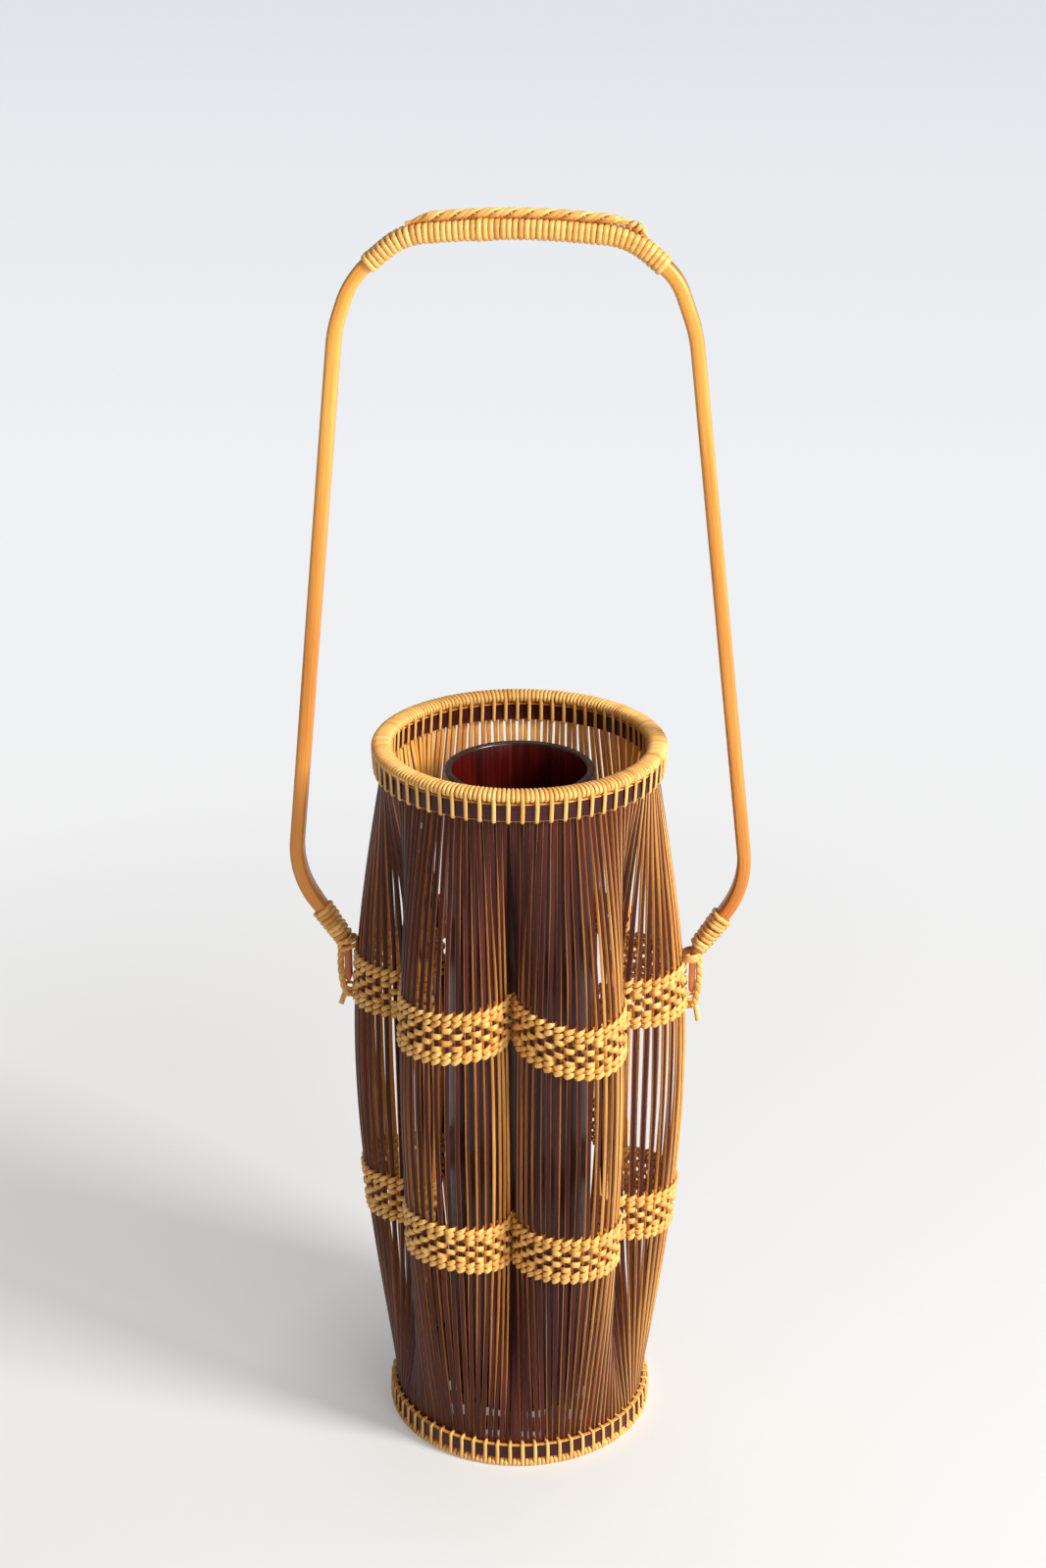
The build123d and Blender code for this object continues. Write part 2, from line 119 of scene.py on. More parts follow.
class Weave:
    """Collects strands, each a run of rings, and turns them into one mesh object."""

    def __init__(self):
        self.points, self.corners, self.sizes, self.maps, self.slots = [], [], [], [], []
        self.count = 0

    def add(self, rings, closed=False, slots=0):
        """One strand; slots gives the material slot of each side of its section, or one for all."""
        rings = np.asarray(rings, float)
        n, m = rings.shape[:2]
        middles = rings.mean(axis=1)
        closing = [middles[:1]] if closed else []
        along = np.linalg.norm(np.diff(np.concatenate([middles] + closing), axis=0), axis=1)
        u = np.concatenate([[0.0], np.cumsum(along)]) + chance.uniform(0, 5000)
        loop = np.concatenate([rings[n // 2], rings[n // 2][:1]])
        v = np.concatenate([[0.0], np.cumsum(np.linalg.norm(np.diff(loop, axis=0), axis=1))])
        v += chance.uniform(0, 200)
        steps = n if closed else n - 1
        i, j = np.meshgrid(np.arange(steps), np.arange(m), indexing="ij")
        i2, j2 = (i + 1) % n, (j + 1) % m
        quads = np.stack([i * m + j, i * m + j2, i2 * m + j2, i2 * m + j], -1).reshape(-1, 4)
        uv = np.stack([
            np.stack([u[i], v[j]], -1), np.stack([u[i], v[j + 1]], -1),
            np.stack([u[i + 1], v[j + 1]], -1), np.stack([u[i + 1], v[j]], -1),
        ], -2).reshape(-1, 4, 2)
        flat = rings.reshape(-1, 3)
        slot = np.broadcast_to(np.asarray(slots), (m,))[j].reshape(-1)
        a, b, c, d = (flat[quads[:, k]] - flat.mean(axis=0) for k in range(4))
        volume = (np.cross(a, b) * c).sum() + (np.cross(a, c) * d).sum()
        if volume < 0:
            quads, uv = quads[:, ::-1], uv[:, ::-1]
        self.points.append(flat)
        self.corners.append(quads.reshape(-1) + self.count)
        self.sizes.append(np.full(len(quads), 4))
        self.maps.append(uv.reshape(-1, 2))
        self.slots.append(slot)
        if not closed:
            ends = [np.arange(m)[::-1], (n - 1) * m + np.arange(m)]
            for end, at in zip(ends, (0, n - 1)):
                order = end if volume >= 0 else end[::-1]
                self.corners.append(order + self.count)
                self.sizes.append(np.array([m]))
                offset = flat[order] - middles[at]
                spread = np.stack([offset[:, 0] + offset[:, 2], offset[:, 1]], -1)
                self.maps.append(spread + np.array([u[0], v[0]]))
                self.slots.append(np.array([slot[-1]]))
        self.count += n * m

    def make(self, name, materials, nodes, finish, body="basket", sharp=80):
        """The mesh object of all strands, which stands for CAD nodes and rides on a body."""
        mesh = bpy.data.meshes.new(name)
        points = np.concatenate(self.points) * MM
        corners = np.concatenate(self.corners).astype(np.int32)
        sizes = np.concatenate(self.sizes)
        mesh.vertices.add(len(points))
        mesh.loops.add(len(corners))
        mesh.polygons.add(len(sizes))
        mesh.vertices.foreach_set("co", points.astype(np.float32).ravel())
        mesh.loops.foreach_set("vertex_index", corners)
        starts = np.concatenate([[0], np.cumsum(sizes)[:-1]]).astype(np.int32)
        mesh.polygons.foreach_set("loop_start", starts)
        mesh.polygons.foreach_set("material_index", np.concatenate(self.slots).astype(np.int32))
        mesh.update(calc_edges=True)
        layer = mesh.uv_layers.new(name="strand")
        layer.data.foreach_set("uv", np.concatenate(self.maps).astype(np.float32).ravel())
        mesh.validate()
        mesh.polygons.foreach_set("use_smooth", np.ones(len(mesh.polygons), bool))
        mesh.set_sharp_from_angle(angle=math.radians(sharp))
        for item in materials:
            mesh.materials.append(item)
        obj = bpy.data.objects.new(name, mesh)
        bpy.context.scene.collection.objects.link(obj)
        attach(obj, body)
        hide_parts(*nodes)
        return obj


def unit(vectors):
    """The same directions with a length of 1."""
    return vectors / np.maximum(np.linalg.norm(vectors, axis=-1, keepdims=True), 1e-9)


def rings_along(centres, normals, sides, section):
    """Rings of a section, given as (along the normal, along the side), at each centre."""
    section = np.asarray(section, float)
    if section.ndim == 2:
        section = np.broadcast_to(section, (len(centres),) + section.shape)
    across = section[..., 0:1] * normals[:, None, :] + section[..., 1:2] * sides[:, None, :]
    return centres[:, None, :] + across


def tangents_of(points, closed=False):
    """Directions along a run of points."""
    if closed:
        return unit(np.roll(points, -1, axis=0) - np.roll(points, 1, axis=0))
    return unit(np.gradient(points, axis=0))


def oval(height, across, corners=8):
    """Outline with half sizes (height, across)."""
    turn = np.arange(corners) * 2 * math.pi / corners
    return np.stack([np.cos(turn) * height, np.sin(turn) * across], -1)


def varying(corners):
    """Sections that change along a piece, from corners (height, across) given as arrays."""
    return np.stack([np.stack(corner, -1) for corner in corners], 1)


def cord_rings(points, width, thick, up=(0.0, 0.0, 1.0), taper=0.0):
    """Rings of a flattened strand along free points, its flat side turned to up."""
    points = np.asarray(points, float)
    along = tangents_of(points)
    up = np.broadcast_to(np.asarray(up, float), points.shape)
    side = unit(np.cross(along, up))
    normal = unit(np.cross(side, along))
    size = np.ones(len(points))
    if taper:
        steps = np.arange(len(points))
        size = np.minimum(1, taper + np.minimum(steps, len(points) - 1 - steps) / 3)
    return rings_along(points, normal, side, oval(thick / 2, width / 2)[None] * size[:, None, None])


def spline(points, count, closed=False):
    """Catmull-Rom curve through points."""
    points = np.asarray(points, float)
    n = len(points)
    if closed:
        p = np.concatenate([points[-1:], points, points[:2]])
        spans = n
    else:
        first = 2 * points[:1] - points[1:2]
        last = 2 * points[-1:] - points[-2:-1]
        p = np.concatenate([first, points, last])
        spans = n - 1
    t = np.arange(count) * spans / (count if closed else count - 1)
    i = np.minimum(t.astype(int), spans - 1)
    f = (t - i)[:, None]
    a, b, c, d = p[i], p[i + 1], p[i + 2], p[i + 3]
    return 0.5 * (2 * b + (c - a) * f + (2 * a - 5 * b + 4 * c - d) * f**2
                  + (3 * b - a - 3 * c + d) * f**3)


def resample(points, count, closed=True):
    """The same outline with evenly spaced points."""
    loop = np.concatenate([points, points[:1]]) if closed else points
    reach = np.concatenate([[0], np.cumsum(np.linalg.norm(np.diff(loop, axis=0), axis=1))])
    at = np.linspace(0, reach[-1], count + 1)[:-1] if closed else np.linspace(0, reach[-1], count)
    return np.stack([np.interp(at, reach, loop[:, k]) for k in range(loop.shape[1])], -1)


def hull(points):
    """Convex outline of flat points, counter-clockwise."""
    order = sorted(map(tuple, np.round(points, 6)))

    def half(run):
        out = []
        for p in run:
            while len(out) > 1 and (
                (out[-1][0] - out[-2][0]) * (p[1] - out[-2][1])
                - (out[-1][1] - out[-2][1]) * (p[0] - out[-2][0])
            ) <= 0:
                out.pop()
            out.append(p)
        return out[:-1]

    return np.array(half(order) + half(order[::-1]))


def grown(points, distance, count):
    """Evenly spaced convex outline at a distance round flat points."""
    cloud = (np.asarray(points)[:, None, :] + oval(distance, distance, 32)[None]).reshape(-1, 2)
    return resample(hull(cloud), count)


def outward(outline):
    """Outward normals of a flat counter-clockwise outline."""
    along = np.roll(outline, -1, axis=0) - np.roll(outline, 1, axis=0)
    return unit(np.stack([along[:, 1], -along[:, 0]], -1))


def strand_section(width, thick, crown=0.35):
    """Domed section of a split rattan strand: (height, across)."""
    w, t = width / 2, thick
    return np.array([
        (0.0, -w * 0.78), (0.0, w * 0.78), (t * 0.24, w), (t * 0.62, w * 0.84),
        (t, w * crown), (t, -w * crown), (t * 0.62, -w * 0.84), (t * 0.24, -w),
    ])


# ------------------------------------------------------------- materials

def new_material(name):
    """A material with nodes, its tree and its shader."""
    mat = bpy.data.materials.new(name)
    mat.use_nodes = True
    return mat, mat.node_tree, mat.node_tree.nodes["Principled BSDF"]


def node(tree, kind, inputs=None, **settings):
    """A new shader node; an input is given as a socket to link from or as a value."""
    made = tree.nodes.new(kind)
    for key, value in settings.items():
        setattr(made, key, value)
    for key, value in (inputs or {}).items():
        socket = made.inputs[key]
        if isinstance(value, bpy.types.NodeSocket):
            tree.links.new(value, socket)
        else:
            socket.default_value = value
    return made


def ramp(tree, factor, stops):
    """Colour from a factor, through stops of (place, colour)."""
    made = node(tree, "ShaderNodeValToRGB", {"Fac": factor})
    elements = made.color_ramp.elements
    while len(elements) < len(stops):
        elements.new(0.5)
    for element, (place, colour) in zip(elements, stops):
        element.position = place
        element.color = (*colour, 1)
    return made.outputs["Color"]


def noise(tree, vector, scale, detail, rough=0.5):
    """Cloudy values about 0.5."""
    made = node(tree, "ShaderNodeTexNoise", {
        "Vector": vector, "Scale": scale, "Detail": detail, "Roughness": rough})
    return made.outputs["Fac"]


def stretched(tree, source, sizes):
    """Coordinates divided by sizes, so that noise of scale 1 has that grain."""
    made = node(tree, "ShaderNodeVectorMath", {0: source, 1: tuple(1 / s for s in sizes)},
                operation="MULTIPLY")
    return made.outputs["Vector"]


def blend(tree, a, b, share):
    """Value a, with a share of b mixed in."""
    made = node(tree, "ShaderNodeMix", data_type="FLOAT")
    tree.links.new(a, made.inputs[2])
    tree.links.new(b, made.inputs[3])
    made.inputs[0].default_value = share
    return made.outputs[0]


def tinted(tree, share, colour, tint, way="MIX"):
    """Colour with a share of a fixed tint, mixed or multiplied in."""
    made = node(tree, "ShaderNodeMix", data_type="RGBA", blend_type=way)
    tree.links.new(share, made.inputs[0])
    tree.links.new(colour, made.inputs[6])
    made.inputs[7].default_value = (*tint, 1)
    return made.outputs[2]


def remap(tree, value, low, high, from_low=0.3, from_high=0.7):
    """Value moved from one range to another, and held inside it."""
    made = node(tree, "ShaderNodeMapRange", {
        "Value": value, "From Min": from_low, "From Max": from_high, "To Min": low, "To Max": high})
    return made.outputs["Result"]


def set_surface(tree, shader, colour, roughness, grain, strength, depth):
    """Links colour and roughness to the shader, and its grain as bump of a depth in metres."""
    tree.links.new(colour, shader.inputs["Base Color"])
    tree.links.new(roughness, shader.inputs["Roughness"])
    made = node(tree, "ShaderNodeBump", {"Height": grain, "Strength": strength, "Distance": depth})
    tree.links.new(made.outputs["Normal"], shader.inputs["Normal"])


def fibrous(name, stops, tone=(60.0, 60.0), fibre=(14.0, 0.22), fibre_share=0.45, roughness=(0.4, 0.6),
            bump=0.00006, coat=0.0, specular=0.5, speckle=None, painted_low_shade=None):
    """Split cane or bamboo: tone that changes from strand to strand, and fine fibres along it.

    tone and fibre are grain sizes in millimetres along and across the strand. speckle is a grain size,
    a colour and a threshold. The last argument gives two heights in metres and a tint of painted shade that
    is full at the lower one.
    """
    mat, tree, shader = new_material(name)
    uv = node(tree, "ShaderNodeUVMap", uv_map="strand").outputs["UV"]
    broad = noise(tree, stretched(tree, uv, (*tone, 1.0)), 1.0, 2.0)
    fine = noise(tree, stretched(tree, uv, (*fibre, 1.0)), 1.0, 3.0, 0.6)
    mixed = blend(tree, broad, fine, fibre_share)
    colour = ramp(tree, mixed, stops)
    if speckle:
        spot_size, spot_colour, spot_limit = speckle
        spots = noise(tree, stretched(tree, uv, (*spot_size, 1.0)), 1.0, 2.0)
        share = remap(tree, spots, 0.0, 0.85, spot_limit, spot_limit + 0.08)
        colour = tinted(tree, share, colour, spot_colour)
    # Painted shade: the colour is multiplied by the tint below the higher height, fully at the lower one.
    if painted_low_shade:
        low, high, tint = painted_low_shade
        place = node(tree, "ShaderNodeTexCoord").outputs["Object"]
        height = node(tree, "ShaderNodeSeparateXYZ", {0: place}).outputs["Z"]
        colour = tinted(tree, remap(tree, height, 1.0, 0.0, low, high), colour, tint, "MULTIPLY")
    set_surface(tree, shader, colour, remap(tree, fine, *roughness), fine, 0.6, bump)
    shader.inputs["Specular IOR Level"].default_value = specular
    shader.inputs["Coat Weight"].default_value = coat
    shader.inputs["Coat Roughness"].default_value = 0.25
    return mat


rattan = fibrous("rattan", [
    (0.28, (0.52, 0.20, 0.036)), (0.42, (0.78, 0.38, 0.088)), (0.58, (0.90, 0.52, 0.150)),
    (0.74, (0.95, 0.64, 0.24))], tone=(40.0, 60.0), fibre=(30.0, 0.45), fibre_share=0.3,
    roughness=(0.36, 0.5), bump=0.00003, coat=0.08)
band_rattan = fibrous("band_rattan", [
    (0.26, (0.42, 0.13, 0.020)), (0.40, (0.74, 0.34, 0.068)), (0.58, (0.92, 0.53, 0.140)),
    (0.74, (0.98, 0.68, 0.26))], tone=(7.0, 40.0), fibre=(14.0, 0.34), fibre_share=0.35,
    roughness=(0.34, 0.5), bump=0.00004, coat=0.1)
dark_skin = fibrous("dark_skin", [
    (0.30, (0.013, 0.0024, 0.0020)), (0.46, (0.038, 0.0060, 0.0052)), (0.60, (0.078, 0.0130, 0.0115)),
    (0.76, (0.16, 0.036, 0.030))], tone=(90.0, 30.0), fibre=(26.0, 0.30), roughness=(0.34, 0.5),
    bump=0.00003, coat=0.0, specular=0.20, speckle=((5.0, 0.8), (0.34, 0.115, 0.028), 0.74))
strip_edge = fibrous("strip_edge", [
    (0.28, (0.34, 0.085, 0.012)), (0.42, (0.72, 0.27, 0.045)), (0.58, (0.93, 0.48, 0.105)),
    (0.75, (0.98, 0.64, 0.22))], tone=(80.0, 60.0), fibre=(20.0, 0.22), roughness=(0.4, 0.55), coat=0.05)
# Painted shade: a darker copy of strip_edge for the right side of every strip, standing in for shade there.
painted_shade_edge = fibrous("painted_shade_edge", [
    (0.28, (0.13, 0.028, 0.006)), (0.42, (0.27, 0.078, 0.014)), (0.58, (0.42, 0.15, 0.030)),
    (0.75, (0.62, 0.28, 0.07))], tone=(70.0, 60.0), fibre=(20.0, 0.22), roughness=(0.4, 0.55))
hoop_skin = fibrous("hoop_skin", [
    (0.30, (0.020, 0.0034, 0.0032)), (0.50, (0.052, 0.0092, 0.0085)), (0.70, (0.115, 0.029, 0.026))],
    tone=(60.0, 20.0), fibre=(40.0, 0.5), roughness=(0.27, 0.40), bump=0.00003, coat=0.04, specular=0.26)
# Painted shade on the handle: its wood is multiplied darker and redder below 0.50 m, fully at 0.27 m.
handle_wood = fibrous("handle_wood", [
    (0.26, (0.46, 0.125, 0.014)), (0.42, (0.74, 0.275, 0.036)), (0.58, (0.90, 0.43, 0.075)),
    (0.76, (0.96, 0.60, 0.17))], tone=(120.0, 30.0), fibre=(45.0, 0.42), fibre_share=0.6,
    roughness=(0.34, 0.48), bump=0.00006, coat=0.1, painted_low_shade=(0.27, 0.50, (0.78, 0.61, 0.52)))
handle_skin = fibrous("handle_skin", [
    (0.28, (0.16, 0.055, 0.018)), (0.45, (0.32, 0.12, 0.030)), (0.60, (0.46, 0.19, 0.045)),
    (0.76, (0.60, 0.29, 0.08))], tone=(150.0, 25.0), fibre=(60.0, 0.5), fibre_share=0.4,
    roughness=(0.26, 0.38), bump=0.00004, coat=0.2)
tongue_wood = fibrous("tongue_wood", [
    (0.30, (0.34, 0.08, 0.018)), (0.50, (0.56, 0.16, 0.034)), (0.72, (0.72, 0.27, 0.065))],
    tone=(40.0, 20.0), fibre=(20.0, 0.3), roughness=(0.4, 0.5))


def lacquer(name, stops):
    """Lacquered bamboo, with faint growth lines up the tube."""
    mat, tree, shader = new_material(name)
    place = node(tree, "ShaderNodeTexCoord").outputs["Object"]
    lines = noise(tree, stretched(tree, place, (0.0016, 0.0016, 0.09)), 1.0, 4.0, 0.6)
    clouds = noise(tree, stretched(tree, place, (0.012, 0.012, 0.05)), 1.0, 2.0)
    mixed = blend(tree, lines, clouds, 0.5)
    set_surface(tree, shader, ramp(tree, mixed, stops), remap(tree, lines, 0.22, 0.38), lines, 0.5, 0.00006)
    shader.inputs["Coat Weight"].default_value = 0.15
    shader.inputs["Coat Roughness"].default_value = 0.15
    return mat


tube_dark = lacquer("tube_lacquer_dark", [
    (0.3, (0.006, 0.002, 0.002)), (0.52, (0.020, 0.007, 0.006)), (0.74, (0.060, 0.020, 0.015))])
tube_red = lacquer("tube_lacquer_red", [
    (0.3, (0.014, 0.0006, 0.0005)), (0.52, (0.052, 0.0018, 0.0012)), (0.72, (0.13, 0.0062, 0.0036))])


# ------------------------------------------------------------------ wall

def bow(z, values):
    """Height curve of a springy strip held at the foot, the two bands and the rim."""
    z = np.asarray(z, float)
    heights = (FOOT_HOOP[1] + 3.0, LOWER_BASE + BAND_HEIGHT / 2, UPPER_BASE + BAND_HEIGHT / 2,
               RIM_HOOP[0] - 3.0)
    spans = np.diff(heights)
    slopes = np.diff(values) / spans
    a, b, d = 2 * (spans[0] + spans[1]), spans[1], 2 * (spans[1] + spans[2])
    low, high = 6 * (slopes[1] - slopes[0]), 6 * (slopes[2] - slopes[1])
    bends = np.array([0, (low * d - b * high) / (a * d - b * b), (a * high - b * low) / (a * d - b * b), 0])
    values = np.asarray(values, float)
    z = np.clip(z, heights[0], heights[3])
    i = np.clip(np.searchsorted(heights, z, side="right") - 1, 0, 2)
    h = spans[i]
    left = (np.asarray(heights)[i + 1] - z) / h
    right = 1 - left
    curve = (left**3 - left) * bends[i] + (right**3 - right) * bends[i + 1]
    return left * values[i] + right * values[i + 1] + curve * h * h / 6


def strip_stations(index):
    """Place (x, y, facing) of one strip at its four holds, for the lobe along +X."""
    pair = index // 2 - 5
    side = index % 2 - 0.5
    share = 2 * index / (STRIPS - 1) - 1

    def on_ring(radius):
        turn = math.radians(pair * 360 / REPEATS) + side * PAIR_GAP / radius
        return radius * math.cos(turn), radius * math.sin(turn), turn

    def on_lobe(offset, radius, half_angle):
        turn = share * math.radians(half_angle)
        return offset + radius * math.cos(turn), radius * math.sin(turn), turn

    return on_ring(FOOT_RADIUS), on_lobe(*LOWER_LOBE), on_lobe(*UPPER_LOBE), on_ring(RIM_RADIUS)


def strip_line(lobe, index, z):
    """Middle (x, y) and facing angle of one strip at heights z."""
    stations = strip_stations(index)
    x, y, facing = (bow(z, [s[k] for s in stations]) for k in range(3))
    turn = lobe * math.pi / 3
    cos, sin = math.cos(turn), math.sin(turn)
    return x * cos - y * sin, x * sin + y * cos, facing + turn


def strip_section(w, t):
    """Section of one strip with half sizes (t, w), and the material slot of each of its sides."""
    section = np.array([
        (t * 0.86, -w + 0.12), (t, -w * 0.5), (t, w * 0.5), (t * 0.86, w - 0.12), (t * 0.66, w),
        (-t + 0.22, w), (-t, w - 0.22), (-t, -w + 0.22), (-t + 0.22, -w), (t * 0.66, -w)])
    skin, cut, painted_shade = 0, 1, 2
    # The right side face, the fifth, takes slot 2, which is painted shade.
    return section, [skin] * 4 + [painted_shade] + [cut] * 5


def make_strips():
    """Every strip of the wall: dark skin outside, cut faces at the left side and inside, and painted shade
    on the right side.
    """
    z = np.linspace(FOOT_HOOP[0], RIM_HOOP[1], 64)
    for lobe in range(LOBES):
        weave = Weave()
        for index in range(STRIPS):
            x, y, facing = strip_line(lobe, index, z)
            half_width = STRIP_WIDE / 2 * (1 + chance.uniform(-0.07, 0.04))
            wave = np.interp(z, np.linspace(z[0], z[-1], 9), chance.normal(0, 0.15, 9))
            wave *= np.clip((RIM_HOOP[0] - z) / 40, 0, 1) * np.clip((z - FOOT_HOOP[1]) / 40, 0, 1)
            held = np.clip((RIM_HOOP[0] - z) / 60, 0, 1) * np.clip((z - FOOT_HOOP[1]) / 60, 0, 1)
            facing = facing + wave * 0.5 + chance.normal(0.08, 0.12) * held
            normal = np.stack([np.cos(facing), np.sin(facing), 0 * z], -1)
            side = np.stack([-np.sin(facing), np.cos(facing), 0 * z], -1)
            centre = np.stack([x, y, z], -1) + side * wave[:, None]
            section, slots = strip_section(half_width, STRIP_THICK / 2)
            weave.add(rings_along(centre, normal, side, section), slots=slots)
        weave.make(f"wall_strips_{lobe + 1}", [dark_skin, strip_edge, painted_shade_edge],
                   [f"wall_strips_lobe_{lobe + 1}"], "dark_bamboo", sharp=40)


# ----------------------------------------------------------------- bands

def dip_curve(samples):
    """Small rise and fall of a hand-woven band, given at angles in degrees."""
    angles = np.radians([a for a, _ in samples])
    values = np.array([v for _, v in samples])
    count = len(samples)

    def at(turn):
        turn = np.mod(turn, 2 * math.pi)
        grid = np.concatenate([angles, [angles[0] + 2 * math.pi]])
        ends = np.concatenate([values, values[:1]])
        i = np.clip(np.searchsorted(grid, turn, side="right") - 1, 0, count - 1)
        f = (turn - grid[i]) / (grid[i + 1] - grid[i])
        f = (1 - np.cos(np.pi * f)) / 2
        return ends[i] * (1 - f) + ends[i + 1] * f

    return at


upper_dip = dip_curve([(0, -0.5), (60, 1.0), (120, -1.0), (180, -0.8), (240, 0.4), (270, 1.4), (300, -5.4),
                       (330, -2.0)])
lower_dip = dip_curve([(0, -3.0), (60, 0.0), (120, 1.5), (180, 2.0), (240, 6.0), (270, 0.8), (300, 0.4),
                       (330, -1.0)])


def row_path(base, dip, height):
    """Closed line through all strips at one row, its outward normals, and strip counts along it."""
    places = []
    for lobe in range(LOBES):
        for index in range(STRIPS):
            x, y, _ = strip_line(lobe, index, base + BAND_HEIGHT / 2)
            z = base + height + dip(math.atan2(y, x))
            x, y, _ = strip_line(lobe, index, z)
            places.append((float(x), float(y), float(z)))
    per_strip = 9
    line = spline(places, len(places) * per_strip, closed=True)
    along = tangents_of(line, closed=True)
    normal = unit(np.stack([along[:, 1], -along[:, 0], 0 * along[:, 0]], -1))
    return line, normal, np.arange(len(line)) / per_strip


def make_band(name, base, dip):
    """Eight woven rows: two twined, four plain and two twined."""
    first_row = 1.35
    section = np.sign(oval(1.0, 1.0)) * np.abs(oval(1.0, 1.0)) ** 0.8
    for row in range(BAND_ROWS):
        weave = Weave()
        line, normal, count = row_path(base, dip, row * ROW_PITCH + first_row)
        rough = spline(chance.normal(0, 1, (60, 2)), len(line), closed=True)
        up = np.tile([0.0, 0.0, 1.0], (len(line), 1))
        twined = row in TWINED_ROWS
        for ply in range(2 if twined else 1):
            turn = math.pi * (count - ply) if twined else math.pi * (count + row)
            swing = np.tanh(2.3 * np.cos(turn)) / math.tanh(2.3)
            rise = 0.80 * np.sin(turn) if twined else 0 * turn
            away = 1.52 * swing + rough[:, 0] * 0.05
            middle = line + normal * away[:, None] + up * (rise + rough[:, 1] * 0.10)[:, None]
            shown = np.abs(np.cos(turn))
            width = 3.0 * (0.44 + 0.56 * shown**0.7) if twined else 2.95 * (0.78 + 0.22 * shown)
            thick = 1.45 * (0.80 + 0.20 * shown)
            sizes = np.stack([thick / 2, width / 2], -1)
            weave.add(rings_along(middle, normal, up, section[None] * sizes[:, None, :]), closed=True)
        weave.make(f"{name}_weave_{row + 1}", [band_rattan], [f"{name}_row_{row + 1}"], "rattan")


# ---------------------------------------------------------- rim and foot

def lathe(weave, outline, steps, slots=0):
    """Closed ring with a flat outline given as (radius, height)."""
    turn = np.arange(steps) * 2 * math.pi / steps
    outline = np.asarray(outline, float)
    rings = np.stack([
        np.cos(turn)[:, None] * outline[None, :, 0], np.sin(turn)[:, None] * outline[None, :, 0],
        np.broadcast_to(outline[:, 1], (steps, len(outline)))], -1)
    weave.add(rings, closed=True, slots=slots)


def make_hoop(name, inner, span, skin_outside):
    """Flat bamboo hoop with eased edges; the skin is dark and the cut faces are light."""
    low, high = span
    outer, e = inner + HOOP_THICK, 0.3
    points = [(outer, low + e), (outer, high - e), (outer - e, high), (inner + e, high),
              (inner, high - e), (inner, low + e), (inner + e, low), (outer - e, low)]
    skin, cut = 0, 1
    slots = [cut] * 8
    slots[0 if skin_outside else 4] = skin
    weave = Weave()
    lathe(weave, points, 180, slots)
    weave.make(name + "_ring", [hoop_skin, strip_edge], [name], "dark_bamboo", sharp=30)


def wrap_loop(outline, turn, width_turn, thick, lean):
    """One wrap round a flat outline given as (radius, height), at an angle about the basket."""
    normals = outward(outline)
    middle = outline.mean(axis=0)
    offset = outline - middle
    swing = np.arctan2(offset[:, 1], offset[:, 0])
    at = turn + lean * np.cos(swing)
    cos, sin = np.cos(at), np.sin(at)
    centres = np.stack([cos * outline[:, 0], sin * outline[:, 0], outline[:, 1]], -1)
    normal = np.stack([cos * normals[:, 0], sin * normals[:, 0], normals[:, 1]], -1)
    side = np.stack([-sin, cos, 0 * cos], -1)
    section = strand_section(2.0, 1.0)
    sizes = np.stack([np.full(len(outline), thick), width_turn * outline[:, 0] / 2], -1)
    return rings_along(centres, normal, side, section[None] * sizes[:, None, :])


def make_ring_set(name, radius, cane_sizes, hoop):
    """Wrapping of the rim or the foot: one long wrap over the hoops, then two short ones."""
    centre, width, height = cane_sizes
    cane = oval(width / 2, height / 2, 28) + (radius, centre)
    half = HOOP_GAP + HOOP_THICK
    box = np.array([(radius - half, hoop[0]), (radius + half, hoop[0]),
                    (radius + half, hoop[1]), (radius - half, hoop[1])])
    short = grown(cane, WRAP_CLEAR, 26)
    long = grown(np.concatenate([cane, box]), WRAP_CLEAR, 44)
    lowest = 0.02
    between = STRAND_TURN * 1.5  # long wraps pass between the pairs of strips
    shorts, longs = Weave(), Weave()
    for k in range(REPEATS):
        at = between + k * 3 * STRAND_TURN
        for offset, outline, weave in ((0, long, longs), (-1, short, shorts), (1, short, shorts)):
            jitter = chance.normal(0, 0.018) * STRAND_TURN
            wide = STRAND_TURN * (0.92 if offset else 0.90) * (1 + chance.normal(0, 0.015))
            thick = WRAP_THICK * (1 + chance.normal(0, 0.03))
            rings = wrap_loop(outline, at + offset * STRAND_TURN + jitter, wide, thick,
                              STRAND_TURN * 0.10)
            rings[..., 2] = np.clip(rings[..., 2], lowest, BODY_TOP)
            weave.add(rings, closed=True)
    longs.make(f"{name}_long_binding", [rattan], [f"{name}_long_wraps"], "rattan")
    shorts.make(f"{name}_short_binding", [rattan], [f"{name}_short_wraps"], "rattan")
    make_hoop(f"{name}_outer_hoop", radius + HOOP_GAP, hoop, True)
    make_hoop(f"{name}_inner_hoop", radius - HOOP_GAP - HOOP_THICK, hoop, False)


# ---------------------------------------------------------------- handle

def fillet_path(points, radii, step=1.0):
    """Points along a line with rounded corners."""
    points = [np.asarray(p, float) for p in points]
    out = [points[0]]
    for before, corner, after, radius in zip(points, points[1:], points[2:], radii):
        a, b = unit(before - corner), unit(after - corner)
        half = math.acos(float(np.clip(a @ b, -1, 1))) / 2
        reach = radius / math.tan(half)
        middle = corner + unit(a + b) * radius / math.sin(half)
        start = corner + a * reach - middle
        sweep = math.pi - 2 * half
        sign = 1 if a[0] * b[1] - a[1] * b[0] < 0 else -1
        count = max(3, int(radius * sweep / step))
        for k in range(count + 1):
            t = sign * sweep * k / count
            c, s = math.cos(t), math.sin(t)
            out.append(middle + np.array([c * start[0] - s * start[1], s * start[0] + c * start[1]]))
    out.append(points[-1])
    return np.array(out)


